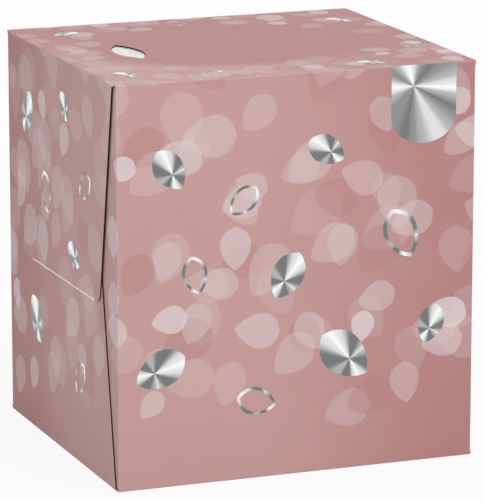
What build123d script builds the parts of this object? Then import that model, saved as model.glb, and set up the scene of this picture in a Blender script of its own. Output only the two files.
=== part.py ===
from build123d import *
from math import asin, atan2, degrees, radians, sqrt, tan
import os

# A sealed cube tissue carton: one folded board, the film under its opening and the tissues inside.
# Millimetres. +Z is up, the front panel faces -Y, and the glued ends face -X and +X.
# The origin is the middle of the underside.

# Outside of the folded tube
front_width = 115.0  # front panel, from fold to fold
depth = 103.3  # front face to back face
height = 123.4  # underside to top face

# Board and its folds
board = 0.35  # thickness of the sheet
fold_radius = 0.6  # outside of every fold
corner_clearance = 0.1  # plain board between a tube fold and the nearest end fold

# Flaps that close each end
end_flap_overlap = 13.0  # how far the upper flap reaches over the lower one
end_flap_inset = 1.7  # from the front face to the flap's front edge, at the fold
end_flap_back_inset = 3.0  # from the back face to its back edge
end_flap_taper = 10.2  # degrees, on both side edges
end_flap_corner = 3.5  # radius of the two free corners
dust_flap_length = 45.0
dust_flap_taper = 8.0
dust_flap_corner = 8.0
dust_flap_clearance = 0.3  # from its side edges to the panels above and below, at the fold
dust_flap_gap = 0.05  # between the dust flaps and the lower end flap

# Seam along the lower back edge
glue_flap_height = 14.0
glue_flap_inset = 3.0  # from the tube's end to the flap's end, at the fold
glue_flap_taper = 30.0
seam_gap = 0.3  # from the underside to the back panel's cut edge

# Oval panel that is torn out of the top, and the finger hole at its left end
oval_length = 79.6  # along X
oval_depth = 53.0  # along Y
finger_hole_length = 25.0  # along Y, tip to tip on the oval
finger_hole_bulge = 4.1  # how far the hole reaches into the panel past its tips
perforation_cut = 4.0  # aimed length of a cut
perforation_tie = 1.0  # board left between two cuts
perforation_width = 0.15

# Film under the opening
film = 0.06  # thickness
film_margin = 8.0  # glued border round the oval
film_corner = 6.0
film_slit_length = 64.0
film_slit_width = 0.3

# Tissues, bent over into an upside-down U
stack_clearance = 1.0  # to the flaps and panels beside the stack
stack_headroom = 0.8  # to the film above it
stack_shoulder = 26.0  # radius of the bend's outside
stack_foot = 2.0  # radius of the lower edges
stack_parting = 1.5  # gap between the two legs

# Planes and lengths that the driving sizes give
end_flap_length = (height + end_flap_overlap) / 2  # from the fold to the free edge, upper and lower alike
dust_plane = front_width / 2
lower_plane = dust_plane + dust_flap_gap + board
upper_plane = lower_plane + board
tube_end = dust_plane - fold_radius
corner_relief = fold_radius + board + corner_clearance
half_depth = depth / 2
ceiling = height - board


def folded_strip(start, fold, end):
    """The section of a strip of board with one left-hand fold. The points follow its outside."""
    outside = FilletPolyline(start, fold, end, radius=fold_radius)
    return make_face(offset(outside, amount=board, side=Side.LEFT))


def taper_loss(length, taper):
    """How much a tapered edge draws in over a length."""
    return length * tan(radians(taper))


def make_tube():
    """Back, top, front and bottom panels, with the glue flap standing inside the back panel."""
    flap_face = half_depth - board
    panels = folded_strip((half_depth, seam_gap), (half_depth, height), (0, height))
    panels += folded_strip((0, height), (-half_depth, height), (-half_depth, height / 2))
    panels += folded_strip((-half_depth, height / 2), (-half_depth, 0), (0, 0))
    seam = folded_strip((0, 0), (flap_face, 0), (flap_face, glue_flap_height))
    root = tube_end - glue_flap_inset
    free = root - taper_loss(glue_flap_height - fold_radius, glue_flap_taper)
    flap_outline = make_face(
        Polyline(
            (-tube_end, 0),
            (tube_end, 0),
            (tube_end, fold_radius),
            (root, fold_radius),
            (free, glue_flap_height),
            (-free, glue_flap_height),
            (-root, fold_radius),
            (-tube_end, fold_radius),
            close=True,
        )
    )
    glue_flap = extrude(Plane.YZ * seam, tube_end, both=True)
    glue_flap &= extrude(Plane.XZ * flap_outline, depth, both=True)
    tube = extrude(Plane.YZ * panels, tube_end, both=True)

    # The tube's four folds run on to the dust flaps' plane, beside the end folds.
    corner = Rectangle(corner_relief, corner_relief, align=(Align.MAX, Align.MIN))
    corners = Pos(half_depth, 0) * corner
    corners += mirror(corners, Plane.YZ)
    corners += mirror(corners, Plane.XZ.offset(-height / 2))
    folds = (panels + seam) & corners
    return tube + glue_flap + extrude(Plane.YZ * folds, dust_plane, both=True)


def make_end_flap(plane):
    """The end flap hinged on the bottom panel's right edge, with its outer face on the given plane."""
    section = folded_strip((0, 0), (plane, 0), (plane, end_flap_length))
    plan = make_face(
        Polyline(
            (tube_end, corner_relief - half_depth),
            (plane - fold_radius, corner_relief - half_depth),
            (plane, end_flap_inset - half_depth),
            (plane, half_depth - end_flap_back_inset),
            (plane - fold_radius, half_depth - corner_relief),
            (tube_end, half_depth - corner_relief),
            close=True,
        )
    )
    front_root = end_flap_inset - half_depth
    back_root = half_depth - end_flap_back_inset
    draw_in = taper_loss(end_flap_length - fold_radius, end_flap_taper)
    face = make_face(
        Polyline(
            (-half_depth, 0),
            (half_depth, 0),
            (half_depth, fold_radius),
            (back_root, fold_radius),
            (back_root - draw_in, end_flap_length),
            (front_root + draw_in, end_flap_length),
            (front_root, fold_radius),
            (-half_depth, fold_radius),
            close=True,
        )
    )
    face = fillet(face.vertices().group_by(Axis.Y)[-1], end_flap_corner)
    flap = extrude(Plane.XZ * section, half_depth, both=True)
    flap &= extrude(plan, end_flap_length)
    return flap & extrude(Plane.YZ * face, plane)


def make_dust_flap():
    """The dust flap hinged on the front panel's right edge, notched round the tube's folds."""
    free_edge = dust_flap_length - half_depth
    section = folded_strip((0, -half_depth), (dust_plane, -half_depth), (dust_plane, free_edge))
    notch = corner_relief - half_depth
    hinge = height / 2 - corner_relief
    root = height / 2 - board - dust_flap_clearance
    free = root - taper_loss(dust_flap_length - corner_relief, dust_flap_taper)
    face = make_face(
        Polyline(
            (-half_depth, -hinge),
            (notch, -hinge),
            (notch, -root),
            (free_edge, -free),
            (free_edge, free),
            (notch, root),
            (notch, hinge),
            (-half_depth, hinge),
            close=True,
        )
    )
    face = fillet(face.vertices().group_by(Axis.X)[-1], dust_flap_corner)
    flap = extrude(section, height)
    return flap & extrude(Plane.YZ.offset(tube_end) * Pos(0, height / 2) * face, fold_radius)


def make_opening():
    """The finger hole and the ring of perforation cuts, as one tool that passes through the top panel."""
    half_length = oval_length / 2
    half_oval = oval_depth / 2
    tip = finger_hole_length / 2
    tip_x = -half_length * sqrt(1 - (tip / half_oval) ** 2)
    outer_arc = ThreePointArc((tip_x, -tip), (-half_length, 0), (tip_x, tip))
    inner_arc = ThreePointArc((tip_x, tip), (tip_x + finger_hole_bulge, 0), (tip_x, -tip))
    finger_hole = make_face(outer_arc + inner_arc)

    tip_angle = degrees(asin(tip / half_oval))
    ring = EllipticalCenterArc((0, 0), half_length, half_oval, tip_angle - 180, arc_size=360 - 2 * tip_angle)
    cuts = round((ring.length - perforation_tie) / (perforation_cut + perforation_tie))
    pitch = (ring.length - perforation_tie) / cuts
    cut = Rectangle(pitch - perforation_tie, perforation_width)
    opening = finger_hole
    for index in range(cuts):
        middle = (perforation_tie / 2 + pitch * (index + 0.5)) / ring.length
        place = ring.position_at(middle)
        along = ring.tangent_at(middle)
        turn = degrees(atan2(along.Y, along.X))
        opening += Pos(place.X, place.Y) * Rot(0, 0, turn) * cut
    return Pos(0, 0, ceiling - board) * extrude(opening, 3 * board)


def make_carton():
    """The whole folded sheet."""
    lower_flap = make_end_flap(lower_plane)
    upper_flap = mirror(make_end_flap(upper_plane), Plane.XY.offset(height / 2))
    dust_flap = make_dust_flap()
    right_end = lower_flap + upper_flap + dust_flap + mirror(dust_flap, Plane.XZ)
    carton = make_tube() + right_end + mirror(right_end, Plane.YZ)
    return carton - make_opening()


def make_film():
    """A rounded sheet flat against the top panel's underside, slit along its middle."""
    length = oval_length + 2 * film_margin
    width = oval_depth + 2 * film_margin
    sheet = RectangleRounded(length, width, film_corner)
    sheet -= SlotOverall(film_slit_length, film_slit_width)
    return Pos(0, 0, ceiling - film) * extrude(sheet, film)


def make_stack():
    """The clip of tissues: two legs joined by the bend over the top."""
    half_width = dust_plane - board - stack_clearance
    half_stack = half_depth - 2 * board - stack_clearance
    top = ceiling - film - stack_headroom
    leg = half_width - stack_parting / 2
    outline = Pos(0, board) * Rectangle(2 * half_width, top - board, align=(Align.CENTER, Align.MIN))
    outline = fillet(outline.vertices().group_by(Axis.Y)[-1], stack_shoulder)
    outline = fillet(outline.vertices().group_by(Axis.Y)[0], stack_foot)
    parting_top = top - leg
    outline -= Rectangle(stack_parting, 2 * parting_top)
    outline -= Pos(0, parting_top) * Circle(stack_parting / 2)
    return extrude(Plane.XZ * outline, half_stack, both=True)


os.makedirs("parts", exist_ok=True)
export_step(make_carton(), "parts/carton.step")
export_step(make_film(), "parts/opening_film.step")
export_step(make_stack(), "parts/tissue_stack.step")
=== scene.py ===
import math
import random

import bpy
from mathutils import Matrix, Vector


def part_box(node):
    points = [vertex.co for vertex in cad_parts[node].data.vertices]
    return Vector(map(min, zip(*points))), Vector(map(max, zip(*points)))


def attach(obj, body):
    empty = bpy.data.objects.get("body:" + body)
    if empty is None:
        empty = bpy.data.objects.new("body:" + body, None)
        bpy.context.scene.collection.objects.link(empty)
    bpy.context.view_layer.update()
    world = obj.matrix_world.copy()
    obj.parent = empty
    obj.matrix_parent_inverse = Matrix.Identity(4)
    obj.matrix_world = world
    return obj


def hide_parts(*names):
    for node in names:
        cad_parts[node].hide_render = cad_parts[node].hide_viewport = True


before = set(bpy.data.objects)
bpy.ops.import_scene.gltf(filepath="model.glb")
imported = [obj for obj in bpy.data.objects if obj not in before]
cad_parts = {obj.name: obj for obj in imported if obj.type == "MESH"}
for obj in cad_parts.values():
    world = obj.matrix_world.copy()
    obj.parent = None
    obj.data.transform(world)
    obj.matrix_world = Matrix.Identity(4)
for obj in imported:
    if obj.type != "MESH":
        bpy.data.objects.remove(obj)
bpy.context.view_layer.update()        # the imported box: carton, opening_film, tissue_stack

mm = 0.001
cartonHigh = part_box("carton")[1]
filmLow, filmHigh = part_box("opening_film")
stackLow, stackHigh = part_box("tissue_stack")
boxHeight = cartonHigh.z
halfDepth = cartonHigh.y
endPlane = cartonHigh.x          # outer face of the upper end flaps
scene = bpy.context.scene


# small helpers

def deselect():
    bpy.ops.object.select_all(action="DESELECT")


def selectOnly(obj):
    deselect()
    obj.select_set(True)
    bpy.context.view_layer.objects.active = obj


def objectMode():
    bpy.ops.object.mode_set(mode="OBJECT")


def editMode():
    bpy.ops.object.mode_set(mode="EDIT")


def editAll(obj):
    selectOnly(obj)
    editMode()
    bpy.ops.mesh.select_mode(type="VERT")
    bpy.ops.mesh.select_all(action="SELECT")


def selectVertices(obj, wanted):
    bpy.ops.mesh.select_mode(type="VERT")
    bpy.ops.mesh.select_all(action="DESELECT")
    objectMode()
    for vertex in obj.data.vertices:
        vertex.select = wanted(vertex.co)
    editMode()


def selectUpright(obj):
    bpy.ops.mesh.select_mode(type="EDGE")
    bpy.ops.mesh.select_all(action="DESELECT")
    objectMode()
    for edge in obj.data.edges:
        first, second = (obj.data.vertices[i].co for i in edge.vertices)
        edge.select = abs(first.z - second.z) > mm
    editMode()


def extrudeBy(x, y, z):
    bpy.ops.mesh.extrude_region_move(TRANSFORM_OT_translate={"value": (x, y, z)})


def applyPlace(obj):
    selectOnly(obj)
    bpy.ops.object.transform_apply(location=True, rotation=True, scale=True)


def newest(name):
    obj = bpy.context.active_object
    obj.name = name
    obj.data.name = name
    return obj


def applyModifier(obj, kind, **settings):
    selectOnly(obj)
    bpy.ops.object.modifier_add(type=kind)
    modifier = obj.modifiers[-1]
    for key, value in settings.items():
        setattr(modifier, key, value)
    bpy.ops.object.modifier_apply(modifier=modifier.name)


def cutWith(obj, tool, operation):
    applyModifier(obj, "BOOLEAN", object=tool, operation=operation, solver="EXACT")
    bpy.data.objects.remove(tool)


def joinAll(objs, name):
    deselect()
    for obj in objs:
        obj.select_set(True)
    bpy.context.view_layer.objects.active = objs[0]
    bpy.ops.object.join()
    return newest(name)


def smooth(obj, degrees):
    selectOnly(obj)
    bpy.ops.object.shade_smooth_by_angle(angle=math.radians(degrees))


def giveMaterial(obj, *materials):
    obj.data.materials.clear()
    for material in materials:
        obj.data.materials.append(material)


# node helpers

def startMaterial(name):
    material = bpy.data.materials.new(name)
    material.use_nodes = True
    tree = material.node_tree
    return material, tree, tree.nodes["Principled BSDF"]


def addNode(tree, kind, **settings):
    made = tree.nodes.new(kind)
    for key, value in settings.items():
        setattr(made, key, value)
    return made


def feed(tree, socket, value):
    if isinstance(value, bpy.types.NodeSocket):
        tree.links.new(value, socket)
    else:
        socket.default_value = value


def calc(tree, operation, *values):
    made = addNode(tree, "ShaderNodeMath", operation=operation)
    for socket, value in zip(made.inputs, values):
        feed(tree, socket, value)
    return made.outputs[0]


def vectorCalc(tree, operation, *values):
    made = addNode(tree, "ShaderNodeVectorMath", operation=operation)
    for socket, value in zip(made.inputs, values):
        feed(tree, socket, value)
    return made.outputs["Value"] if operation == "LENGTH" else made.outputs["Vector"]


def split(tree, vector):
    made = addNode(tree, "ShaderNodeSeparateXYZ")
    feed(tree, made.inputs[0], vector)
    return made.outputs


def turned(tree, vector, angle):
    made = addNode(tree, "ShaderNodeVectorRotate", rotation_type="Z_AXIS")
    feed(tree, made.inputs["Vector"], vector)
    feed(tree, made.inputs["Angle"], angle)
    return made.outputs[0]


def ease(tree, value, low, high, start=0.0, end=1.0, even=False):
    made = addNode(tree, "ShaderNodeMapRange", interpolation_type="LINEAR" if even else "SMOOTHSTEP")
    for socket, number in zip(made.inputs, (value, low, high, start, end)):
        feed(tree, socket, number)
    return made.outputs[0]


def blend(tree, factor, first, second):
    made = addNode(tree, "ShaderNodeMix", data_type="RGBA")
    feed(tree, made.inputs["Factor"], factor)
    feed(tree, made.inputs[6], first)
    feed(tree, made.inputs[7], second)
    return made.outputs[2]


def noise(tree, spot, scale, detail, dimensions="3D"):
    made = addNode(tree, "ShaderNodeTexNoise", noise_dimensions=dimensions)
    feed(tree, made.inputs["W" if dimensions == "1D" else "Vector"], spot)
    made.inputs["Scale"].default_value = scale
    made.inputs["Detail"].default_value = detail
    return made.outputs["Fac"]


def bumpOn(tree, shader, height, distance, strength):
    made = addNode(tree, "ShaderNodeBump")
    feed(tree, made.inputs["Height"], height)
    made.inputs["Distance"].default_value = distance
    made.inputs["Strength"].default_value = strength
    tree.links.new(made.outputs[0], shader.inputs["Normal"])


def objectSpot(tree):
    return addNode(tree, "ShaderNodeTexCoord").outputs["Object"]


# camera, at the photograph's viewing angle

view = {
    "azimuth": -21.12,        # degrees, from straight in front
    "elevation": 13.0,
    "distance": 1208.0,       # millimetres from the box's middle
    "middleRight": -1.57,     # millimetres that the middle sits off the view's centre
    "middleUp": 3.22,
    "focalPixels": 3873.0,
    "imageHeight": 500,
    "sensor": 36.0,
    "nearest": 0.05,          # metres
    "farthest": 50.0,
}


def makeCamera():
    turn = math.radians(view["azimuth"])
    lift = math.radians(view["elevation"])
    back = Vector((math.sin(turn) * math.cos(lift), -math.cos(turn) * math.cos(lift), math.sin(lift)))
    right = Vector((math.cos(turn), math.sin(turn), 0.0))
    up = back.cross(right)
    middle = Vector((0.0, 0.0, boxHeight / 2))
    place = middle + back * view["distance"] * mm
    place -= right * view["middleRight"] * mm + up * view["middleUp"] * mm
    bpy.ops.object.camera_add(location=place, rotation=(-back).to_track_quat("-Z", "Y").to_euler())
    camera = newest("camera")
    camera.data.sensor_width = view["sensor"]
    camera.data.lens = view["focalPixels"] * view["sensor"] / view["imageHeight"]
    camera.data.clip_start = view["nearest"]
    camera.data.clip_end = view["farthest"]
    scene.camera = camera


makeCamera()
print("camera placed")


# printed board: rose ground, drifts of pale petals, a plain oval on the top

rosePrint = {
    "lightRose": (0.545, 0.325, 0.313, 1.0),    # round the front left edge
    "deepRose": (0.445, 0.216, 0.212, 1.0),     # away from it
    "pale": (0.73, 0.64, 0.652, 1.0),
    "dusky": (0.46, 0.222, 0.214, 1.0),
    "bareWhite": (0.97, 0.885, 0.86, 1.0),      # unprinted glue band
    "blankUnit": 100.0,         # millimetres of board to one unit of the blank's UV map
    "fade": (38.0, 124.0),      # millimetres from the front left edge over which the rose deepens
    "fadeDepth": 1.25,          # it deepens this much faster towards the back
    "cloudNoise": (26.0, 2.0),  # scale and detail, as for every noise here
    "cloudShift": 30.0,         # millimetres that soft clouds move the fade
    "foot": (2.0, 46.0),        # heights between which petals thin out towards the foot
    "topFiner": 1.45,           # the top's petals are smaller by this
    "topSkin": 0.01,            # what lies within this of the top is its face
    "ovalHalfLength": 47.5,     # plain field round the tear-out panel
    "ovalHalfDepth": 33.5,
    "ovalEdge": (0.96, 1.04),   # petals start over this, where 1 is the field's outline
    "ovalGlow": (1.35, 0.75),   # and its deep rose comes in over this
    "driftNoise": (0.020, 1.0),  # per millimetre, gathers the petals into drifts
    "driftRange": (0.40, 0.58),
    "driftThin": 0.42,          # share of petals left between the drifts
    "heading": -38.0,           # degrees, the way that the petals drift
    "headingSpread": 150.0,
    "edgeSoftness": 0.22,
    "lean": 0.28,               # one end of a petal is fuller
    "flapOverlap": 13.0,        # of the upper end flaps over the lower ones
    "glueBandHeight": 0.78,     # bare board below the upper flap's edge
    "glueBandHalf": 29.4,
    "glueBandMiddle": -2.3,     # it sits a little to the front
    "endSkin": 0.6,             # both end flaps' faces lie within this of the end
    # painted highlight along the folds, in noisy patches:
    "foldHighlightRange": (0.985, 0.85),  # largest part of the normal, from a panel to a fold's middle
    "foldHighlightNoise": (900.0, 3.0),
    "foldHighlightShare": 0.35,
    "fibreNoise": (2600.0, 3.0),
    "fibreRange": (0.2, 0.8),
    "fibreHeight": 0.004,
    "fibreStrength": 0.5,
    "roughness": (0.40, 0.52),
    "specular": 0.12,
}
flapEdge = (boxHeight - rosePrint["flapOverlap"] * mm) / 2         # free edge of the upper end flaps

petalLayers = [
    {"cell": 25.0, "half": 9.4, "wide": 6.9, "small": 0.74, "turn": 14, "shift": (3, 11), "chance": 0.90,
     "faint": 0.10, "strong": 0.26, "tone": "pale", "seed": 3},
    {"cell": 23.0, "half": 8.4, "wide": 6.2, "small": 0.72, "turn": -31, "shift": (9, 2), "chance": 0.85,
     "faint": 0.12, "strong": 0.30, "tone": "pale", "seed": 11},
    {"cell": 27.0, "half": 8.8, "wide": 6.6, "small": 0.72, "turn": 47, "shift": (17, 5), "chance": 0.62,
     "faint": 0.30, "strong": 0.62, "tone": "dusky", "seed": 19},
    {"cell": 24.0, "half": 9.0, "wide": 6.6, "small": 0.68, "turn": 68, "shift": (1, 21), "chance": 0.80,
     "faint": 0.14, "strong": 0.36, "tone": "pale", "seed": 29},
    {"cell": 26.0, "half": 8.0, "wide": 5.8, "small": 0.70, "turn": 33, "shift": (19, 3), "chance": 0.70,
     "faint": 0.18, "strong": 0.50, "tone": "pale", "seed": 53},
    {"cell": 22.0, "half": 6.6, "wide": 4.8, "small": 0.66, "turn": 5, "shift": (13, 7), "chance": 0.45,
     "faint": 0.30, "strong": 0.75, "tone": "pale", "seed": 41},
]


def arcRadius(half, wide):
    return (wide ** 2 + half ** 2) / (2 * wide)          # of the two arcs that bound a petal


def ovalReach(tree, across, deep, middle, scale):
    across = calc(tree, "DIVIDE", across, rosePrint["ovalHalfLength"] * scale)
    deep = calc(tree, "SUBTRACT", deep, middle)
    deep = calc(tree, "DIVIDE", deep, rosePrint["ovalHalfDepth"] * scale)
    return calc(tree, "ADD", calc(tree, "POWER", across, 2.0), calc(tree, "POWER", deep, 2.0))


def petalDensity(tree, spot):
    along = split(tree, spot)
    top = boxHeight / mm
    topHalf = halfDepth / mm * rosePrint["topFiner"]
    far = 2 * top + 2 * topHalf                  # the back panel's foot
    foot = ease(tree, along["Y"], *rosePrint["foot"])
    backFoot = ease(tree, calc(tree, "SUBTRACT", far, along["Y"]), *rosePrint["foot"])
    reach = ovalReach(tree, along["X"], along["Y"], top + topHalf, rosePrint["topFiner"])
    outside = ease(tree, reach, *rosePrint["ovalEdge"])
    gathered = noise(tree, spot, *rosePrint["driftNoise"])
    drift = ease(tree, gathered, *rosePrint["driftRange"], rosePrint["driftThin"], 1.0)
    outside = calc(tree, "MULTIPLY", outside, drift)
    return calc(tree, "MULTIPLY", outside, calc(tree, "MULTIPLY", foot, backFoot))


def cellDraws(tree, number, seed):
    draws = []
    for step in (0.0, 0.5):                      # two draws for each cell, of three numbers each
        made = addNode(tree, "ShaderNodeTexWhiteNoise", noise_dimensions="3D")
        feed(tree, made.inputs["Vector"], vectorCalc(tree, "ADD", number, (0.0, 0.0, seed + step)))
        draws.append(made.outputs["Color"])
    return draws


def petalShape(tree, local, size, layer):
    local = split(tree, local)
    along = calc(tree, "DIVIDE", local["Y"], size)
    fuller = calc(tree, "MULTIPLY_ADD", along, rosePrint["lean"] / layer["half"], 1.0)
    across = calc(tree, "DIVIDE", calc(tree, "ABSOLUTE", local["X"]), calc(tree, "MULTIPLY", size, fuller))
    radius = arcRadius(layer["half"], layer["wide"])
    across = calc(tree, "ADD", across, radius - layer["wide"])
    reach = calc(tree, "ADD", calc(tree, "POWER", across, 2.0), calc(tree, "POWER", along, 2.0))
    reach = calc(tree, "SUBTRACT", calc(tree, "SQRT", reach), radius)
    soft = rosePrint["edgeSoftness"]
    return ease(tree, reach, -soft, soft, 1.0, 0.0)


def petalMask(tree, spot, layer):
    turn = math.radians(layer["turn"])
    shift = (*layer["shift"], 0.0)
    cell = layer["cell"]
    place = addNode(tree, "ShaderNodeMapping")
    feed(tree, place.inputs["Vector"], spot)
    place.inputs["Rotation"].default_value = (0.0, 0.0, turn)
    place.inputs["Location"].default_value = shift
    lattice = place.outputs[0]
    scaled = vectorCalc(tree, "DIVIDE", lattice, (cell, cell, 1.0))
    draws = cellDraws(tree, vectorCalc(tree, "FLOOR", scaled), layer["seed"])
    first, second = (split(tree, draw) for draw in draws)
    room = cell / 2 - layer["half"]              # how far a petal may sit off its cell's middle
    inside = vectorCalc(tree, "SUBTRACT", vectorCalc(tree, "FRACTION", scaled), (0.5, 0.5, 0.0))
    inside = vectorCalc(tree, "MULTIPLY", inside, (cell, cell, 0.0))
    wander = vectorCalc(tree, "SUBTRACT", draws[0], (0.5, 0.5, 0.5))
    wander = vectorCalc(tree, "MULTIPLY", wander, (2 * room, 2 * room, 0.0))
    local = vectorCalc(tree, "SUBTRACT", inside, wander)
    middle = vectorCalc(tree, "SUBTRACT", vectorCalc(tree, "SUBTRACT", lattice, local), shift)
    home = turned(tree, middle, -turn)           # the petal's middle, back on the blank
    spread = math.radians(rosePrint["headingSpread"])
    lowest = -math.radians(rosePrint["heading"]) - turn - spread / 2
    local = turned(tree, local, calc(tree, "MULTIPLY_ADD", second["X"], spread, lowest))
    size = ease(tree, second["Y"], 0.0, 1.0, layer["small"], 1.0, even=True)
    mask = petalShape(tree, local, size, layer)
    likely = calc(tree, "MULTIPLY", petalDensity(tree, home), layer["chance"])
    here = calc(tree, "LESS_THAN", first["Z"], likely)
    weight = ease(tree, second["Z"], 0.0, 1.0, layer["faint"], layer["strong"], even=True)
    return calc(tree, "MULTIPLY", mask, calc(tree, "MULTIPLY", here, weight))


def roseGround(tree, place, where):
    fromEdge = vectorCalc(tree, "ADD", place, (endPlane, halfDepth, 0.0))
    fromEdge = vectorCalc(tree, "MULTIPLY", fromEdge, (1 / mm, rosePrint["fadeDepth"] / mm, 0.0))
    away = vectorCalc(tree, "LENGTH", fromEdge)
    clouds = calc(tree, "SUBTRACT", noise(tree, place, *rosePrint["cloudNoise"]), 0.5)
    away = calc(tree, "MULTIPLY_ADD", clouds, rosePrint["cloudShift"], away)
    fade = ease(tree, away, *rosePrint["fade"])
    colour = blend(tree, fade, rosePrint["lightRose"], rosePrint["deepRose"])
    onTop = calc(tree, "GREATER_THAN", where["Z"], boxHeight - rosePrint["topSkin"] * mm)
    field = ease(tree, ovalReach(tree, where["X"], where["Y"], 0.0, mm), *rosePrint["ovalGlow"])
    return blend(tree, calc(tree, "MULTIPLY", onTop, field), colour, rosePrint["deepRose"])


def glueBand(tree, where):
    below = calc(tree, "LESS_THAN", where["Z"], flapEdge)
    above = calc(tree, "GREATER_THAN", where["Z"], flapEdge - rosePrint["glueBandHeight"] * mm)
    along = calc(tree, "SUBTRACT", where["Y"], rosePrint["glueBandMiddle"] * mm)
    within = calc(tree, "LESS_THAN", calc(tree, "ABSOLUTE", along), rosePrint["glueBandHalf"] * mm)
    across = calc(tree, "ABSOLUTE", where["X"])
    outer = calc(tree, "GREATER_THAN", across, endPlane - rosePrint["endSkin"] * mm)
    level = calc(tree, "MULTIPLY", below, above)
    return calc(tree, "MULTIPLY", level, calc(tree, "MULTIPLY", within, outer))


# painted highlight: the print is lightened where the normal turns over a fold
def paintedFoldHighlight(tree, place):
    normal = addNode(tree, "ShaderNodeNewGeometry").outputs["Normal"]
    facing = split(tree, vectorCalc(tree, "ABSOLUTE", normal))
    straight = calc(tree, "MAXIMUM", facing["X"], calc(tree, "MAXIMUM", facing["Y"], facing["Z"]))
    patches = noise(tree, place, *rosePrint["foldHighlightNoise"])
    shine = calc(tree, "MULTIPLY", ease(tree, straight, *rosePrint["foldHighlightRange"]), patches)
    return calc(tree, "MULTIPLY", shine, rosePrint["foldHighlightShare"])


def makePrintedBoard():
    material, tree, shader = startMaterial("printedBoard")
    uv = addNode(tree, "ShaderNodeUVMap", uv_map="blank")
    unit = rosePrint["blankUnit"]
    spot = vectorCalc(tree, "MULTIPLY", uv.outputs[0], (unit, unit, 0.0))        # to millimetres
    place = objectSpot(tree)
    where = split(tree, place)
    colour = roseGround(tree, place, where)
    for layer in petalLayers:
        colour = blend(tree, petalMask(tree, spot, layer), colour, rosePrint[layer["tone"]])
    colour = blend(tree, glueBand(tree, where), colour, rosePrint["bareWhite"])
    colour = blend(tree, paintedFoldHighlight(tree, place), colour, rosePrint["pale"])        # painted highlight along the folds
    tree.links.new(colour, shader.inputs["Base Color"])
    fibre = noise(tree, place, *rosePrint["fibreNoise"])
    rough = ease(tree, fibre, *rosePrint["fibreRange"], *rosePrint["roughness"], even=True)
    tree.links.new(rough, shader.inputs["Roughness"])
    shader.inputs["Specular IOR Level"].default_value = rosePrint["specular"]
    bumpOn(tree, shader, fibre, rosePrint["fibreHeight"] * mm, rosePrint["fibreStrength"])
    return material


bareBoard = {
    # the cut tones are near black: painted shade for the shadowed gaps at the flap edges and in the finger
    # hole
    "cut": {"light": (0.016, 0.012, 0.011, 1.0), "dark": (0.007, 0.005, 0.005, 1.0)},
    "inside": {"light": (0.66, 0.64, 0.61, 1.0), "dark": (0.52, 0.50, 0.48, 1.0)},
    "fibreNoise": (1400.0, 4.0),
    "fibreHeight": 0.01,
    "fibreStrength": 0.6,
    "roughness": 0.9,
    "specular": 0.05,
}


def makeBareBoard(name, tones):
    material, tree, shader = startMaterial(name)
    fibre = noise(tree, objectSpot(tree), *bareBoard["fibreNoise"])
    tree.links.new(blend(tree, fibre, tones["dark"], tones["light"]), shader.inputs["Base Color"])
    shader.inputs["Roughness"].default_value = bareBoard["roughness"]
    shader.inputs["Specular IOR Level"].default_value = bareBoard["specular"]
    bumpOn(tree, shader, fibre, bareBoard["fibreHeight"] * mm, bareBoard["fibreStrength"])
    return material


printedBoard = makePrintedBoard()
cutEdgeShadeBoard = makeBareBoard("cutEdgeShadeBoard", bareBoard["cut"])
insideBoard = makeBareBoard("insideBoard", bareBoard["inside"])
print("board materials made")


# carton: the folded sheet, split into print, cut edges and inside

sheetSplit = {
    "board": 0.35,              # millimetres of board
    "touch": 0.05,              # how near a face lies to the plane it belongs to
    "corner": 1.15,             # reach of the recesses at the tube's corners
    "beyondCrease": 1.25,       # how far the end creases lie inside the upper flaps' faces
    "seam": 1.0,                # the back panel's lower edge lies below this
    "holeTip": 12.5,            # the finger hole's tips, to either side of the middle
    "openingReach": 0.9,        # share of the half length that holds the cuts in the top
    "square": 0.99,             # least share of a normal on a face square to an axis
    "along": 0.01,              # most of it on a face along the axis
    "level": 0.02,              # below this a normal points neither in nor out
    "mergeWithin": 0.0005,
    "smoothAngle": 40,
}


def faceKind(face):
    normal, middle = face.normal, face.center
    touch = sheetSplit["touch"] * mm
    board = sheetSplit["board"] * mm
    square, along = sheetSplit["square"], sheetSplit["along"]
    fromMiddle = Vector((middle.x, middle.y, middle.z - boxHeight / 2))
    outward = all(abs(normal[i]) < sheetSplit["level"] or normal[i] * fromMiddle[i] > 0 for i in range(3))
    onTube = min(abs(abs(middle.y) - halfDepth), abs(abs(fromMiddle.z) - boxHeight / 2)) < touch
    nearSide = abs(middle.y) > halfDepth - sheetSplit["corner"] * mm
    nearLevel = abs(fromMiddle.z) > boxHeight / 2 - sheetSplit["corner"] * mm
    inTop = middle.z > boxHeight - board and abs(middle.x) < sheetSplit["openingReach"] * endPlane
    if inTop and abs(normal.z) < along and not nearSide:
        inHole = middle.x < 0 and abs(middle.y) < sheetSplit["holeTip"] * mm
        return "cut" if inHole else "print"          # the perforations' walls take the ink
    if abs(normal.x) > square:
        return "inside" if normal.x * middle.x < 0 else "print"
    if abs(normal.x) < along and abs(middle.x) > endPlane - sheetSplit["beyondCrease"] * mm:
        inRecess = nearSide and nearLevel            # the small recess at each corner of the tube
        return "print" if inRecess or (outward and onTube) else "cut"
    if normal.z < -square and touch < middle.z < sheetSplit["seam"] * mm and middle.y > halfDepth - board:
        return "cut"                     # lower edge of the back panel
    flat = max(abs(v) for v in normal) > square
    return "print" if outward and (onTube or not flat) else "inside"


def blankSpot(co, normal):
    ax, ay, az = abs(normal.x), abs(normal.y), abs(normal.z)
    x, y, z = co / mm
    deep, tall = halfDepth / mm, boxHeight / mm
    finer = rosePrint["topFiner"]
    if ax >= ay and ax >= az:
        reach = endPlane / mm + y + deep
        return (math.copysign(reach, normal.x), z)
    if ay >= az:
        return (x, z) if normal.y < 0 else (x, 2 * tall + 2 * deep * finer - z)
    return (x * finer, tall + (y + deep) * finer) if normal.z > 0 else (x, -y - deep)


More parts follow.
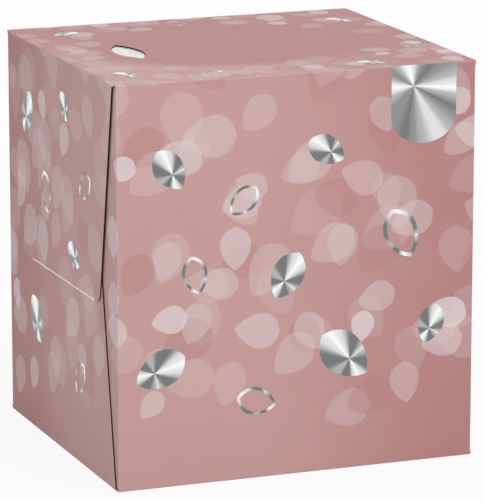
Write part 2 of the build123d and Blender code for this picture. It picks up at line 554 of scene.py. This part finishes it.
def makeCarton():
    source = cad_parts["carton"]
    carton = bpy.data.objects.new("carton_board", source.data.copy())
    scene.collection.objects.link(carton)
    editAll(carton)
    bpy.ops.mesh.remove_doubles(threshold=sheetSplit["mergeWithin"] * mm)
    bpy.ops.mesh.customdata_custom_splitnormals_clear()
    objectMode()
    giveMaterial(carton, printedBoard, cutEdgeShadeBoard, insideBoard)
    slots = {"print": 0, "cut": 1, "inside": 2}
    blank = carton.data.uv_layers.new(name="blank")
    for face in carton.data.polygons:
        face.material_index = slots[faceKind(face)]
        for corner in face.loop_indices:
            co = carton.data.vertices[carton.data.loops[corner].vertex_index].co
            u, v = blankSpot(co, face.normal)
            blank.data[corner].uv = (u / rosePrint["blankUnit"], v / rosePrint["blankUnit"])
    smooth(carton, sheetSplit["smoothAngle"])
    applyModifier(carton, "WEIGHTED_NORMAL", keep_sharp=True)
    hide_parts("carton")
    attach(carton, "root")
    return carton


carton = makeCarton()
print("carton dressed,", len(carton.data.polygons), "faces")


# silver foil: petals scattered over the print, and a plain tab below the top fold

foil = {
    "lift": 0.03,              # millimetres proud of the board
    "sink": 0.03,              # and down into it
    "half": 10.0,              # the petal as it is drawn, before each one is sized
    "wide": 6.6,
    "lean": 0.30,
    "rim": 1.5,                # stroke of the outlined ones
    "facets": 144,
    "fanDown": 0.25,           # the sheen's middle below the petal's, in half lengths
    "smoothAngle": 30,
    # tones of the sheen painted into the foil's colour, from painted highlight to painted shade
    "bright": (1.0, 1.0, 1.0, 1.0),
    "light": (0.78, 0.785, 0.785, 1.0),
    "middle": (0.47, 0.48, 0.478, 1.0),
    "dim": (0.30, 0.31, 0.308, 1.0),
    "dark": (0.20, 0.21, 0.208, 1.0),
    "brushNoise": (160.0, 4.0),  # strokes round the sheen's middle
    "brushWobble": 0.022,
    "brushHeight": 0.01,
    "brushStrength": 0.35,
    "grainNoise": (3000.0, 2.0),
    "grainRange": (0.25, 0.75),
    "roughness": (0.23, 0.35),
}

# across and up on the face in millimetres, length, turn in degrees, whether only the outline is there
foilPlaces = {
    "front": [
        (-41.0, 97.0, 14.0, 34, False), (-17.5, 86.0, 11.5, -48, True), (9.0, 99.5, 13.0, 62, False),
        (-33.0, 64.5, 12.0, 12, True), (-3.5, 62.0, 15.5, -30, False), (33.5, 72.0, 16.5, 24, True),
        (-44.0, 36.5, 17.0, -64, False), (15.0, 36.0, 19.5, 48, False), (43.5, 43.0, 12.5, -20, False),
        (-13.5, 24.0, 13.0, 76, True),
    ],
    "left": [
        (-30.0, 101.0, 15.0, -26, False), (6.0, 109.0, 10.5, 40, False), (25.0, 88.0, 12.0, -58, True),
        (-12.0, 79.0, 13.5, 18, True), (14.0, 64.5, 11.5, 66, False), (-24.0, 36.0, 16.0, 30, False),
        (18.0, 27.0, 12.5, -36, True),
    ],
    "right": [
        (28.0, 100.0, 15.5, 22, False), (-8.0, 107.0, 11.0, -44, True), (-27.0, 84.0, 13.0, 52, False),
        (9.0, 76.0, 14.0, -16, True), (20.0, 40.0, 16.0, -60, False), (-17.0, 31.0, 12.0, 28, True),
    ],
    "back": [
        (38.0, 98.0, 14.5, -30, False), (14.0, 88.0, 11.5, 44, True), (-13.0, 102.0, 12.5, -66, False),
        (-37.0, 80.0, 16.0, 16, True), (-2.0, 64.0, 15.5, 32, False), (29.0, 57.0, 12.0, -18, True),
        (41.0, 33.0, 17.5, 58, False), (-24.0, 41.0, 18.5, -46, False), (8.0, 29.0, 12.5, 74, True),
    ],
    "top": [
        (-49.0, -36.0, 9.0, 30, False), (-24.0, -42.5, 8.0, -50, True), (27.0, -43.0, 8.5, 64, False),
        (50.0, -19.0, 9.0, -24, True), (47.0, 31.0, 9.5, 40, False), (-4.0, 43.0, 8.5, 12, True),
        (-43.0, 37.0, 9.0, -62, False),
    ],
}

foilTab = {
    "left": 29.9,              # millimetres from the middle of the front
    "right": 51.1,
    "straight": 15.7,          # down from the top to where the rounding starts
    "bottom": 24.1,
    "facets": 96,
    "foldRadius": 0.6,
    "wrap": 55,                # degrees that the foil follows the fold
    "foldSteps": 8,
    "touch": 0.01,
    "mergeWithin": 0.001,
    "fanDown": 6.5,            # the sheen's middle, down from the top
    "fanLeft": 3.4,            # and left of the tab's middle
    "fanUnit": 10.0,
}


def makeFoil(name, streaks):
    material, tree, shader = startMaterial(name)
    uv = addNode(tree, "ShaderNodeUVMap", uv_map="fan")
    fan = addNode(tree, "ShaderNodeTexGradient", gradient_type="RADIAL")
    feed(tree, fan.inputs[0], uv.outputs[0])
    turnShare = fan.outputs["Fac"]
    strokes = noise(tree, turnShare, *foil["brushNoise"], "1D")
    wobble = calc(tree, "SUBTRACT", strokes, 0.5)
    wobble = calc(tree, "MULTIPLY_ADD", wobble, foil["brushWobble"], turnShare)
    # painted sheen: bright and dark streaks round the sheen's middle, in the foil's colour
    ramp = addNode(tree, "ShaderNodeValToRGB")
    feed(tree, ramp.inputs[0], wobble)
    ramp.color_ramp.interpolation = "EASE"
    stops = ramp.color_ramp.elements
    stops[0].position, stops[0].color = 0.0, foil[streaks[0][1]]
    stops[1].position, stops[1].color = 1.0, foil[streaks[0][1]]
    for place, tone in streaks[1:]:
        stops.new(place).color = foil[tone]
    tree.links.new(ramp.outputs[0], shader.inputs["Base Color"])
    shader.inputs["Metallic"].default_value = 1.0
    grain = noise(tree, objectSpot(tree), *foil["grainNoise"])
    rough = ease(tree, grain, *foil["grainRange"], *foil["roughness"], even=True)
    tree.links.new(rough, shader.inputs["Roughness"])
    bumpOn(tree, shader, strokes, foil["brushHeight"] * mm, foil["brushStrength"])
    return material


# share of a turn round the middle of the painted sheen, and the painted tone there, from highlight to shade
foilPetalPaintedSheen = makeFoil("foilPetalPaintedSheen", [
    (0.0, "middle"), (0.05, "dark"), (0.11, "dark"), (0.165, "light"), (0.19, "bright"), (0.225, "light"),
    (0.29, "dark"), (0.36, "dark"), (0.43, "middle"), (0.47, "light"), (0.50, "middle"), (0.55, "dark"),
    (0.61, "dark"), (0.68, "light"), (0.72, "bright"), (0.76, "light"), (0.83, "dark"), (0.90, "dark"),
    (0.96, "middle"),
])
foilTabPaintedSheen = makeFoil("foilTabPaintedSheen", [
    (0.0, "bright"), (0.035, "light"), (0.065, "middle"), (0.12, "dim"), (0.17, "dim"), (0.22, "dark"),
    (0.25, "dim"), (0.28, "middle"), (0.32, "light"), (0.34, "light"), (0.37, "middle"), (0.40, "dim"),
    (0.42, "dark"), (0.455, "middle"), (0.485, "bright"), (0.51, "light"), (0.54, "middle"), (0.585, "dim"),
    (0.64, "dark"), (0.69, "dim"), (0.72, "middle"), (0.75, "light"), (0.785, "bright"), (0.81, "bright"),
    (0.835, "light"), (0.865, "middle"), (0.90, "dim"), (0.92, "dim"), (0.945, "middle"), (0.97, "light"),
])


def vesica(inset):
    half, wide = foil["half"] * mm, foil["wide"] * mm
    radius = arcRadius(half, wide)
    discs = []
    for side, deeper in ((-1, 0.0), (1, mm)):            # no two caps in one plane
        deselect()
        bpy.ops.mesh.primitive_cylinder_add(
            vertices=foil["facets"],
            radius=radius - inset,
            depth=(foil["lift"] + foil["sink"]) * mm + inset + deeper,
            location=(side * (radius - wide), 0.0, (foil["lift"] - foil["sink"]) / 2 * mm),
        )
        discs.append(newest("petalDisc"))
        applyPlace(discs[-1])
    cutWith(discs[0], discs[1], "INTERSECT")
    return discs[0]


def drawPetal(outlined):
    petal = vesica(0.0)
    if outlined:
        cutWith(petal, vesica(foil["rim"] * mm), "DIFFERENCE")
    lean = {"deform_method": "TAPER", "deform_axis": "Y", "factor": foil["lean"], "lock_z": True}
    applyModifier(petal, "SIMPLE_DEFORM", **lean)
    fan = petal.data.uv_layers.new(name="fan")
    for loop in petal.data.loops:
        co = petal.data.vertices[loop.vertex_index].co / mm
        fan.data[loop.index].uv = (co.x / foil["half"], co.y / foil["half"] + foil["fanDown"])
    return petal


def faceMatrix(face, across, up):
    if face == "top":
        return Matrix.Translation((across * mm, up * mm, boxHeight))
    turns = {"front": 0, "left": -90, "right": 90, "back": 180}
    reach = halfDepth
    if face in ("left", "right"):
        onUpperFlap = up * mm > flapEdge
        reach = endPlane if onUpperFlap else endPlane - sheetSplit["board"] * mm
    spin = Matrix.Rotation(math.radians(turns[face]), 4, "Z")
    stand = Matrix.Rotation(math.radians(90), 4, "X")
    return spin @ Matrix.Translation((across * mm, -reach, up * mm)) @ stand


def makeFoilPetals():
    drawn = {False: drawPetal(False), True: drawPetal(True)}
    copies = []
    for face, places in foilPlaces.items():
        for across, up, length, turn, outlined in places:
            copy = bpy.data.objects.new("foilPetal", drawn[outlined].data.copy())
            scene.collection.objects.link(copy)
            size = length / (2 * foil["half"])
            spin = Matrix.Rotation(math.radians(turn), 4, "Z")
            sized = Matrix.Diagonal((size, size, 1.0, 1.0))
            copy.matrix_world = faceMatrix(face, across, up) @ spin @ sized
            applyPlace(copy)
            copies.append(copy)
    for pattern in drawn.values():
        bpy.data.objects.remove(pattern)
    petals = joinAll(copies, "foil_petals")
    giveMaterial(petals, foilPetalPaintedSheen)
    smooth(petals, foil["smoothAngle"])
    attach(petals, "root")
    return petals


def makeFoilTab():
    top = boxHeight / mm
    middle = (foilTab["left"] + foilTab["right"]) / 2
    straightEnd = top - foilTab["straight"]
    deselect()
    bpy.ops.mesh.primitive_circle_add(
        vertices=foilTab["facets"],
        radius=1.0,
        fill_type="NGON",
        location=(middle * mm, -halfDepth, straightEnd * mm),
        rotation=(math.radians(90), 0.0, 0.0),
    )
    tab = newest("foil_tab")
    halfWide = (foilTab["right"] - foilTab["left"]) / 2 * mm
    tab.scale = (halfWide, (foilTab["bottom"] - foilTab["straight"]) * mm, 1.0)
    applyPlace(tab)
    editAll(tab)
    bpy.ops.mesh.bisect(
        plane_co=(0.0, 0.0, straightEnd * mm),
        plane_no=(0.0, 0.0, 1.0),
        clear_outer=True,
    )
    selectVertices(tab, lambda co: co.z > (straightEnd - foilTab["touch"]) * mm)
    fold = foilTab["foldRadius"]
    extrudeBy(0.0, 0.0, (foilTab["straight"] - fold) * mm)
    bpy.ops.mesh.spin(
        steps=foilTab["foldSteps"],
        angle=math.radians(foilTab["wrap"]),
        center=(0.0, -halfDepth + fold * mm, (top - fold) * mm),
        axis=(1.0, 0.0, 0.0),
    )
    bpy.ops.mesh.select_all(action="SELECT")
    bpy.ops.mesh.remove_doubles(threshold=foilTab["mergeWithin"] * mm)
    bpy.ops.mesh.normals_make_consistent(inside=False)
    objectMode()
    thickness = foil["lift"] + foil["sink"]
    proud = (foil["lift"] - foil["sink"]) / thickness
    applyModifier(tab, "SOLIDIFY", thickness=thickness * mm, offset=proud)
    fan = tab.data.uv_layers.new(name="fan")
    for loop in tab.data.loops:
        co = tab.data.vertices[loop.vertex_index].co / mm
        fan.data[loop.index].uv = (
            (co.x - middle + foilTab["fanLeft"]) / foilTab["fanUnit"],
            (co.z - top + foilTab["fanDown"]) / foilTab["fanUnit"],
        )
    giveMaterial(tab, foilTabPaintedSheen)
    smooth(tab, foil["smoothAngle"])
    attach(tab, "root")
    return tab


foilPetals = makeFoilPetals()
tab = makeFoilTab()
print("foil laid,", len(foilPetals.data.polygons) + len(tab.data.polygons), "faces")


# film under the opening, glued round its border and slack inside it

filmSheet = {
    "cellsAcross": 130,
    "cellsDeep": 92,
    "overhang": 1.0,            # millimetres of grid past the outline, before it is trimmed
    "thickness": 0.06,
    "corner": 6.0,
    "cornerSteps": 10,
    "slitLength": 64.0,
    "slitWidth": 0.06,          # a cut whose edges nearly meet
    "slitRound": 0.45,          # its ends' radius, as a share of the width
    "toolHeight": 6.0,
    "slackHalfLength": 41.5,    # the free part of the film
    "slackHalfDepth": 27.5,
    "slackEdge": 0.25,          # the slack comes in over this share of the reach
    "wrinkle": 0.14,
    "wrinkleLength": 7.5,
    "ridge": (0.55, 0.83),      # the way across the main wrinkles
    "cross": (0.91, -0.41),     # and across the wider ones over them
    "crossWider": 1.7,
    "mix": (0.5, 0.32, 0.18),   # level, main and wider wrinkles
    "wander": [(1.6, 0.21, 0.0, 1.3), (1.1, -0.08, 0.34, 0.0)],      # size, rate on X and Y, start
    "holeMiddle": -35.4,        # where the tissues press it up into the finger hole
    "holeHalfLength": 3.9,
    "holeHalfDepth": 10.8,
    "holeLift": 0.27,
    "holeRim": 0.35,            # power of the lift's profile: the lower, the steeper at the rim
    "smoothAngle": 40,
    "milky": (1.0, 1.0, 1.0, 1.0),
    # grey streaks painted into the film's colour: painted shade of its wrinkles
    "streakShade": (0.80, 0.82, 0.82, 1.0),
    "streak": (1.0, 0.22, 1.0),  # drawn out along Y
    "streakNoise": (620.0, 3.0),
    "streakRange": (0.36, 0.60),
    "dimpleNoise": (420.0, 2.0),
    "dimpleHeight": 0.02,
    "dimpleStrength": 0.4,
    "roughness": 0.16,
    "cover": 0.78,
}


def makeFilmMaterial():
    material, tree, shader = startMaterial("milkyFilm")
    place = objectSpot(tree)
    drawn = vectorCalc(tree, "MULTIPLY", place, filmSheet["streak"])
    # painted shade in streaks drawn out along Y
    streakMask = ease(tree, noise(tree, drawn, *filmSheet["streakNoise"]), *filmSheet["streakRange"])
    colour = blend(tree, streakMask, filmSheet["streakShade"], filmSheet["milky"])
    tree.links.new(colour, shader.inputs["Base Color"])
    shader.inputs["Roughness"].default_value = filmSheet["roughness"]
    shader.inputs["Alpha"].default_value = filmSheet["cover"]
    dimples = noise(tree, place, *filmSheet["dimpleNoise"])
    bumpOn(tree, shader, dimples, filmSheet["dimpleHeight"] * mm, filmSheet["dimpleStrength"])
    return material


def wrinkleWave(along, length):
    return math.sin(2 * math.pi * along / length)


def filmDrop(x, y):
    reach = (x / filmSheet["slackHalfLength"]) ** 2 + (y / filmSheet["slackHalfDepth"]) ** 2
    slack = min(max((1.0 - reach) / filmSheet["slackEdge"], 0.0), 1.0)
    slack = slack * slack * (3 - 2 * slack)
    wander = 0.0
    for size, onX, onY, start in filmSheet["wander"]:
        wander += size * math.sin(x * onX + y * onY + start)
    length = filmSheet["wrinkleLength"]
    ridgeX, ridgeY = filmSheet["ridge"]
    crossX, crossY = filmSheet["cross"]
    ridge = wrinkleWave(ridgeX * x + ridgeY * y + wander, length)
    cross = wrinkleWave(crossX * x + crossY * y - wander, filmSheet["crossWider"] * length)
    level, ridgeShare, crossShare = filmSheet["mix"]
    crease = level + ridgeShare * ridge + crossShare * cross
    across = (x - filmSheet["holeMiddle"]) / filmSheet["holeHalfLength"]
    inHole = max(1.0 - across ** 2 - (y / filmSheet["holeHalfDepth"]) ** 2, 0.0)
    return slack * filmSheet["wrinkle"] * crease - filmSheet["holeLift"] * inHole ** filmSheet["holeRim"]


def boxTool(length, width, corner):
    deselect()
    bpy.ops.mesh.primitive_cube_add(size=1.0, location=(0.0, 0.0, filmHigh.z))
    tool = newest("filmTool")
    tool.scale = (length * mm, width * mm, filmSheet["toolHeight"] * mm)
    applyPlace(tool)
    editAll(tool)
    selectUpright(tool)
    bpy.ops.mesh.bevel(offset=corner * mm, segments=filmSheet["cornerSteps"], affect="EDGES")
    objectMode()
    return tool


def makeFilm():
    size = (filmHigh - filmLow) / mm
    over = 2 * filmSheet["overhang"]
    deselect()
    bpy.ops.mesh.primitive_grid_add(
        x_subdivisions=filmSheet["cellsAcross"],
        y_subdivisions=filmSheet["cellsDeep"],
        size=1.0,
        location=(0.0, 0.0, filmHigh.z),
    )
    film = newest("film_sheet")
    film.scale = ((size.x + over) * mm, (size.y + over) * mm, 1.0)
    applyPlace(film)
    for vertex in film.data.vertices:
        vertex.co.z -= filmDrop(vertex.co.x / mm, vertex.co.y / mm) * mm
    applyModifier(film, "SOLIDIFY", thickness=filmSheet["thickness"] * mm, offset=-1.0)
    cutWith(film, boxTool(size.x, size.y, filmSheet["corner"]), "INTERSECT")
    slit = filmSheet["slitWidth"]
    cutWith(film, boxTool(filmSheet["slitLength"], slit, slit * filmSheet["slitRound"]), "DIFFERENCE")
    giveMaterial(film, makeFilmMaterial())
    smooth(film, filmSheet["smoothAngle"])
    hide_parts("opening_film")
    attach(film, "root")
    return film


film = makeFilm()
print("film made,", len(film.data.polygons), "faces")


# tissues: sheets nested over each other in an upside-down U

tissues = {
    "layers": 24,
    "parting": 1.5,            # millimetres between the two legs
    "shoulder": 26.0,          # outside radius of the outermost sheet
    "leastBend": 0.8,
    "airShare": 0.10,          # of the pitch, left between two sheets
    "edgeWander": 0.7,         # how far a sheet may stop short of the stack's face
    "bendSteps": 10,
    "startWidth": 1.0,         # the strip that each sheet is drawn from
    "mergeWithin": 0.01,
    "smoothAngle": 35,
    "seed": 6,
    "light": (0.95, 0.95, 0.94, 1.0),
    "shade": (0.86, 0.86, 0.85, 1.0),
    "fluffNoise": (900.0, 4.0),
    "quiltNoise": (120.0, 2.0),
    "bumpHeight": 0.06,
    "bumpStrength": 0.6,
    "roughness": 0.95,
    "specular": 0.15,
}


def makeTissueMaterial():
    material, tree, shader = startMaterial("softTissue")
    place = objectSpot(tree)
    fluff = noise(tree, place, *tissues["fluffNoise"])
    quilt = noise(tree, place, *tissues["quiltNoise"])
    tree.links.new(blend(tree, fluff, tissues["shade"], tissues["light"]), shader.inputs["Base Color"])
    shader.inputs["Roughness"].default_value = tissues["roughness"]
    shader.inputs["Specular IOR Level"].default_value = tissues["specular"]
    soft = calc(tree, "ADD", fluff, quilt)
    bumpOn(tree, shader, soft, tissues["bumpHeight"] * mm, tissues["bumpStrength"])
    return material


def makeTissueLayer(depthIn, front, back):
    half = stackHigh.x / mm - depthIn
    top = stackHigh.z / mm - depthIn
    foot = stackLow.z / mm
    bend = max(tissues["shoulder"] - depthIn, tissues["leastBend"])
    rise = top - bend - foot
    flat = 2 * (half - bend)
    strip = tissues["startWidth"] * mm
    deselect()
    bpy.ops.mesh.primitive_plane_add(size=1.0, location=(-half * mm, (front + back) / 2 * mm, foot * mm))
    layer = newest("tissueLayer")
    layer.scale = (strip, (back - front) * mm, 1.0)
    applyPlace(layer)
    editAll(layer)
    selectVertices(layer, lambda co: co.x < -half * mm)
    bpy.ops.mesh.delete(type="VERT")                     # one edge of the strip is left, along Y
    bpy.ops.mesh.select_all(action="SELECT")
    bpy.ops.transform.translate(value=(-strip / 2, 0.0, 0.0))
    extrudeBy(0.0, 0.0, rise * mm)
    for side in (-1, 1):
        bpy.ops.mesh.spin(
            steps=tissues["bendSteps"],
            angle=math.radians(90),
            center=(side * (half - bend) * mm, 0.0, (top - bend) * mm),
            axis=(0.0, -1.0, 0.0),
        )
        if side < 0:
            extrudeBy(flat * mm, 0.0, 0.0)
    extrudeBy(0.0, 0.0, -rise * mm)
    bpy.ops.mesh.select_all(action="SELECT")
    bpy.ops.mesh.remove_doubles(threshold=tissues["mergeWithin"] * mm)
    objectMode()
    return layer


def makeTissues():
    draw = random.Random(tissues["seed"])
    pitch = (stackHigh.x / mm - tissues["parting"] / 2) / tissues["layers"]
    thickness = pitch * (1 - tissues["airShare"])
    layers = []
    for index in range(tissues["layers"]):
        front = stackLow.y / mm + draw.uniform(0.0, tissues["edgeWander"])
        back = stackHigh.y / mm - draw.uniform(0.0, tissues["edgeWander"])
        layers.append(makeTissueLayer(index * pitch, front, back))
    stack = joinAll(layers, "tissue_clip")
    applyModifier(stack, "SOLIDIFY", thickness=thickness * mm, offset=1.0)       # inwards
    giveMaterial(stack, makeTissueMaterial())
    smooth(stack, tissues["smoothAngle"])
    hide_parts("tissue_stack")
    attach(stack, "root")
    return stack


stack = makeTissues()
print("tissues stacked,", len(stack.data.polygons), "faces")


# floor, light and world

studio = {
    "floorHalf": 6.0,            # metres
    "floorDrop": 0.02,           # millimetres below the box
    "floorColour": (0.92, 0.92, 0.92, 1.0),
    "floorGlow": 0.88,           # how far the floor goes to plain white for the camera
    "worldColour": (1.0, 1.0, 1.0, 1.0),
    "worldLight": 0.45,
    "lamps": [                   # places and sizes in metres
        {"name": "keyLamp", "place": (0.35, -1.6, 1.1), "size": 1.4, "watts": 16.8},
        {"name": "topLamp", "place": (0.1, -0.1, 1.9), "size": 1.6, "watts": 5.8},
        {"name": "sideLamp", "place": (-1.7, -0.5, 0.8), "size": 1.2, "watts": 3.6},
        {"name": "backLamp", "place": (0.75, 1.6, 0.75), "size": 1.4, "watts": 10.5},
    ],
}


def plainWhiteFor(tree):
    path = addNode(tree, "ShaderNodeLightPath").outputs
    seen = calc(tree, "MAXIMUM", path["Is Camera Ray"], path["Is Glossy Ray"])
    return calc(tree, "MAXIMUM", seen, path["Is Transmission Ray"])


def makeFloor():
    deselect()
    bpy.ops.mesh.primitive_plane_add(
        size=2 * studio["floorHalf"],
        location=(0.0, 0.0, -studio["floorDrop"] * mm),
    )
    floor = newest("studio_floor")
    applyPlace(floor)
    material, tree, shader = startMaterial("studioFloor")
    shader.inputs["Base Color"].default_value = studio["floorColour"]
    shader.inputs["Roughness"].default_value = 1.0
    shader.inputs["Specular IOR Level"].default_value = 0.0
    glow = addNode(tree, "ShaderNodeEmission")
    mixed = addNode(tree, "ShaderNodeMixShader")
    feed(tree, mixed.inputs[0], calc(tree, "MULTIPLY", plainWhiteFor(tree), studio["floorGlow"]))
    tree.links.new(shader.outputs[0], mixed.inputs[1])
    tree.links.new(glow.outputs[0], mixed.inputs[2])
    tree.links.new(mixed.outputs[0], tree.nodes["Material Output"].inputs["Surface"])
    giveMaterial(floor, material)


def makeWorld():
    world = bpy.data.worlds.new("studioWorld")
    scene.world = world
    world.use_nodes = True
    tree = world.node_tree
    sky = tree.nodes["Background"]
    sky.inputs["Color"].default_value = studio["worldColour"]
    light = studio["worldLight"]
    feed(tree, sky.inputs["Strength"], calc(tree, "MULTIPLY_ADD", plainWhiteFor(tree), 1.0 - light, light))


def makeLamps():
    for lamp in studio["lamps"]:
        place = Vector(lamp["place"])
        aim = Vector((0.0, 0.0, boxHeight / 2)) - place
        facing = aim.to_track_quat("-Z", "Y").to_euler()
        bpy.ops.object.light_add(type="AREA", location=place, rotation=facing)
        light = newest(lamp["name"])
        light.data.size = lamp["size"]
        light.data.energy = lamp["watts"]
        light.visible_glossy = False         # only the white surround shows in reflections


makeFloor()
makeWorld()
makeLamps()
scene.view_settings.view_transform = "Standard"
print("studio ready")
